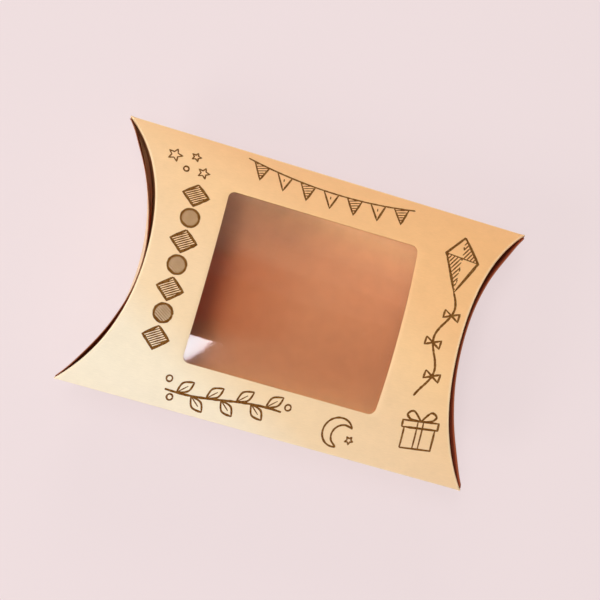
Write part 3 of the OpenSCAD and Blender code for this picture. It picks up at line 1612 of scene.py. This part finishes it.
@dataclass
class FrontPrint:
    """Party doodles round the window, and a hatched border column to its left."""

    pen: Pen
    finishes: Finishes
    column_x: float = -75.5
    column_low: float = -50.0
    column_high: float = 48.0
    column_motifs: int = 7
    # Points of a star lie at its radius, and its notches at this share of it
    star_notch: float = 0.45

    def build(self) -> None:
        """Draws every motif and lays the ink on the panel."""
        self.border_column()
        for motif, origin, turn, size in (
            (self.stars, (-87.0, 62.0), -12, 1.0),
            (self.pennants, (1.0, 62.5), -1, 1.0),
            (self.kite, (84.0, 41.0), -4, 1.0),
            (self.gift, (86.0, -55.0), 8, 1.0),
            (self.moon, (41.0, -66.5), -24, 0.9),
            (self.sprig, (-28.0, -66.5), 2, 1.0),
        ):
            self.pen.move(origin, turn, size)
            motif()
        self.pen.build("front_print", self.finishes.ink)

    def border_column(self) -> None:
        """Draws a column of hatched diamonds and rounds in turn."""
        diamond = [(0.0, 6.6), (7.6, 0.0), (0.0, -6.6), (-7.6, 0.0)]
        disc = arc((0.0, 0.0), 5.2, (22.5 * k for k in range(16)))
        pitch = (self.column_high - self.column_low) / self.column_motifs
        for i in range(self.column_motifs):
            outline, slant = (diamond, 32) if i % 2 == 0 else (disc, -32)
            self.pen.move((self.column_x, self.column_low + pitch * (i + 0.5)))
            self.pen.rule(outline, 1.5, closed=True)
            self.pen.hatch(outline, 1.25, slant, 0.8)

    def moon(self) -> None:
        """Draws a crescent with a star in its bend."""
        outer = arc((0.0, 0.0), 9.5, range(55, 306, 25))
        inner = arc((4.2, 0.2), 7.2, range(270, 89, -30))
        self.pen.draw(outer + inner, 1.1, closed=True)
        self.star((9.5, 1.0), 2.8)

    def stars(self) -> None:
        """Draws a scatter of stars and a ring."""
        for x, y, radius in ((-6.0, -1.0, 4.4), (5.5, 4.0, 3.0), (13.5, -3.5, 3.6)):
            self.star((x, y), radius)
        self.pen.ring((3.5, -6.0), 1.5)

    def star(self, centre: Point, radius: float) -> None:
        """Draws a five-pointed star of straight strokes.

        Args:
            centre: Middle of the star.
            radius: Distance of its points from there.
        """
        points = arc(centre, radius, range(90, -270, -72))
        notches = arc(centre, radius * self.star_notch, range(54, -306, -72))
        outline = [corner for pair in zip(points, notches) for corner in pair]
        self.pen.rule(outline, 0.85, closed=True)

    def pennants(self) -> None:
        """Draws pennants on a sagging line, hatched and dotted in turn."""

        def line(x: float) -> float:
            """Height of the line at x."""
            return 5.5 + 0.0022 * x * x

        self.pen.draw([(x, line(x)) for x in range(-52, 53, 4)], 1.0)
        first, pitch, half = -43.5, 14.5, 4.6
        for i in range(7):
            x = first + pitch * i
            pennant = [
                (x - half, line(x - half)), (x + 0.4, line(x) - 10.5), (x + half, line(x + half))
            ]
            self.pen.rule(pennant, 1.2)
            if i % 2 == 0:
                self.pen.hatch(pennant, 1.6, 20, 0.7)
            else:
                self.pen.dot((x, line(x) - 3.6), 1.0)

    def gift(self) -> None:
        """Draws a wrapped parcel with a ribbon and a bow."""
        self.pen.rule([(-9, -9), (9, -9), (9, 3), (-9, 3)], 1.2, closed=True)
        self.pen.rule([(-10.5, 3), (10.5, 3), (10.5, 7), (-10.5, 7)], 1.2, closed=True)
        for side in (-1, 1):
            self.pen.rule([(side * 1.6, 7), (side * 1.6, -9)], 1.0)
        for side in (-1, 1):
            loop = [(0, 7), (side * 5, 12.5), (side * 8.5, 10.5), (side * 6, 7.8), (0, 7)]
            self.pen.draw(loop, 1.2)

    def kite(self) -> None:
        """Draws a kite whose long tail carries bows."""
        top, right, bottom, left, middle = (0, 24), (10, 10), (0, -12), (-10, 10), (0, 10)
        self.pen.rule([top, right, bottom, left], 1.5, closed=True)
        self.pen.rule([top, bottom], 0.9)
        self.pen.rule([left, right], 0.9)
        self.pen.hatch([top, right, middle], 1.7, 60, 0.8)
        self.pen.hatch([middle, bottom, left], 1.7, 60, 0.8)
        tail = [(3.4 * math.sin(k * 0.75), -12 - 4.6 * k) for k in range(15)]
        self.pen.draw(tail, 1.3)
        for x, y in (tail[3], tail[7], tail[11]):
            bow = [(-4.5, 2.4), (-4.5, -2.4), (4.5, 2.4), (4.5, -2.4)]
            self.pen.rule([(x + dx, y + dy) for dx, dy in bow], 1.2, closed=True)

    def sprig(self) -> None:
        """Draws a lying twig with leaves and berries."""

        def stem(x: float) -> float:
            """Height of the twig at x."""
            return 1.8 * math.sin(x / 14)

        self.pen.draw([(x, stem(x)) for x in range(-34, 35, 4)], 1.3)
        for i in range(7):
            x = -27.0 + 8.6 * i
            y, up = stem(x), 1 if i % 2 == 0 else -1
            tip = (x + 8.5, y + up * 7.6)
            for out, rise in ((2.2, 6.0), (6.4, 2.2)):
                self.pen.draw([(x, y), (x + out, y + up * rise), tip], 1.1)
            self.pen.rule([(x, y), (x + 5.6, y + up * 4.9)], 0.7)
        for berry in ((-33.0, 5.0), (-30.0, -5.0), (37.0, 4.5)):
            self.pen.ring(berry, 1.7)


# ---- Studio -----------------------------------------------------------------


@dataclass(frozen=True)
class Lamp:
    """A soft rectangular lamp, placed and sized in metres."""

    name: str
    at: Triple
    size: tuple[float, float]
    # Power in watts
    power: float
    colour: str
    # Turn about its own line of sight, in degrees
    roll: float = 0.0

    def build(self, target: Triple) -> None:
        """Makes the lamp.

        Args:
            target: Point that it looks at.
        """
        bpy.ops.object.light_add(type="AREA", location=self.at)
        lamp = bpy.context.object
        lamp.name = self.name
        lamp.data.shape = "RECTANGLE"
        lamp.data.size, lamp.data.size_y = self.size
        lamp.data.energy = self.power
        lamp.data.color = linear(self.colour)[:3]
        aim = Vector(target) - Vector(self.at)
        lamp.rotation_mode = "QUATERNION"
        spin = Quaternion((0.0, 0.0, 1.0), math.radians(self.roll))
        lamp.rotation_quaternion = aim.to_track_quat("-Z", "Y") @ spin
        log.info("lamp %s: %.1f W", self.name, self.power)


@dataclass
class Studio:
    """Plain pale floor, soft light and the camera where the photographer's stood."""

    camera_at: Triple = (-0.10932, -0.10385, 0.86593)
    camera_right: Triple = (0.952041, 0.261286, 0.159211)
    camera_up: Triple = (-0.277015, 0.957020, 0.085884)
    camera_back: Triple = (-0.129928, -0.125869, 0.983502)
    lens: float = 86.468
    sensor: float = 36.0
    clip: tuple[float, float] = (0.01, 20.0)
    floor_half: float = 2.5
    ceiling: str = "#FFFDFB"
    sky_level: float = 0.2
    # Film and board mirror a dimmer ceiling, so the film stays clear over the inside
    mirrored_level: float = 0.1
    # Past the edge of the floor, the camera and low reflections meet a backdrop of the
    # paper's own colour. In reflections it gives way to the ceiling between these heights
    backdrop: str = "#EDDFDF"
    backdrop_top: tuple[float, float] = (0.35, 0.6)
    target: Triple = (0.0, 0.0, 0.03)
    lamps: tuple[Lamp, ...] = (
        Lamp("softbox", (-0.75, 0.08, 2.50), (2.4, 0.6), 34.5, "#FFFFFF", 6.1),
        Lamp("front", (-1.7, -1.8, 1.25), (1.0, 0.8), 33.5, "#FFFEFC"),
        Lamp("back", (-0.6, 2.4, 0.95), (1.2, 0.7), 24.0, "#FFFBF6"),
        # Dim cards that overlap, so that their reflection fades down the film's far half
        Lamp("card", (0.25, 1.14, 1.63), (0.7, 2.15), 0.602, "#FFE3CC"),
        Lamp("card", (0.29, 1.32, 1.49), (0.7, 1.70), 0.476, "#FFE3CC"),
        Lamp("card", (0.32, 1.49, 1.35), (0.7, 1.24), 0.3472, "#FFE3CC"),
        Lamp("strip", (-0.012, -0.629, 0.843), (0.07, 0.35), 0.62, "#FAF9FF", -4.5),
    )

    def build(self) -> None:
        """Makes the camera, the floor, the world light and the lamps."""
        self.build_camera()
        self.build_floor()
        self.build_world()
        for lamp in self.lamps:
            lamp.build(self.target)
        bpy.context.scene.view_settings.view_transform = "Standard"

    def build_camera(self) -> None:
        """Makes the camera."""
        data = bpy.data.cameras.new("camera")
        data.lens = self.lens
        data.sensor_width = self.sensor
        data.clip_start, data.clip_end = self.clip
        camera = bpy.data.objects.new("camera", data)
        bpy.context.collection.objects.link(camera)
        turn = Matrix((self.camera_right, self.camera_up, self.camera_back)).transposed()
        camera.matrix_world = Matrix.Translation(self.camera_at) @ turn.to_4x4()
        bpy.context.scene.camera = camera
        log.info("camera: lens %.1f mm", data.lens)

    def build_floor(self) -> None:
        """Makes the floor under the box."""
        bpy.ops.object.select_all(action="DESELECT")
        bpy.ops.mesh.primitive_plane_add(size=2 * self.floor_half)
        floor = bpy.context.object
        floor.name = "floor"
        dress(floor, [StudioPaper().build()])
        log.info("floor: %.1f m wide", 2 * self.floor_half)

    def build_world(self) -> None:
        """Makes the world light."""
        world = bpy.data.worlds.new("studio")
        world.use_nodes = True
        tree = world.node_tree
        tree.nodes.clear()
        sky, mirrored, backdrop = (
            add_node(
                tree, "ShaderNodeBackground", {"Color": linear(colour), "Strength": level}
            ).outputs["Background"]
            for colour, level in (
                (self.ceiling, self.sky_level),
                (self.ceiling, self.mirrored_level),
                (self.backdrop, 1.0),
            )
        )
        way = add_node(tree, "ShaderNodeTexCoord").outputs["Generated"]
        height = add_node(tree, "ShaderNodeSeparateXYZ", {"Vector": way}).outputs["Z"]
        low = add_node(
            tree,
            "ShaderNodeMapRange",
            {
                "Value": height,
                "From Min": self.backdrop_top[0],
                "From Max": self.backdrop_top[1],
                "To Min": 1.0,
                "To Max": 0.0,
            },
        ).outputs["Result"]
        glossy = add_node(tree, "ShaderNodeLightPath").outputs["Is Glossy Ray"]
        above = add_node(
            tree, "ShaderNodeMixShader", {0: glossy, 1: sky, 2: mirrored}
        ).outputs["Shader"]
        mix = add_node(
            tree, "ShaderNodeMixShader", {0: background_seen(tree, low), 1: above, 2: backdrop}
        ).outputs["Shader"]
        add_node(tree, "ShaderNodeOutputWorld", {"Surface": mix})
        bpy.context.scene.world = world
        log.info("world: levels %.1f and %.1f", self.sky_level, self.mirrored_level)


# ---- Assembly ---------------------------------------------------------------


def dress_glue(finishes: Finishes) -> None:
    """Gives the CAD part's two glue lines their material.

    Args:
        finishes: The materials of the box.
    """
    for name in ("seam_glue", "window_glue"):
        dress(bpy.data.objects[name], [finishes.glue])
        log.info("%s: dried glue", name)


def main() -> None:
    """Builds the studio and then the box, piece by piece."""
    logging.basicConfig(level=logging.INFO, format="%(name)s: %(message)s")
    Studio().build()
    shape = BoxShape()
    finishes = Finishes()
    window = Window(shape, finishes)
    FrontBoard(shape, finishes, window).build()
    window.build_film()
    back = BackBoard(shape, finishes)
    back.build_panel()
    back.build_tab()
    # Each outer flap stands off its own way, as creased board does
    stand_offs = {
        End.LEFT: (0.6, 2.4, 2.0, 0.9, 1.1, 2.9, 4.7, 4.6, 0.9),
        End.RIGHT: (0.8, 3.0, 3.0, 2.3, 2.0, 2.1, 2.8, 3.3, 1.0),
    }
    for end in End:
        flaps = EndFlaps(shape, finishes, end, stand_offs[end])
        flaps.build_outer()
        flaps.build_inner()
    FrontPrint(Pen(shape), finishes).build()
    dress_glue(finishes)


if __name__ == "__main__":
    main()
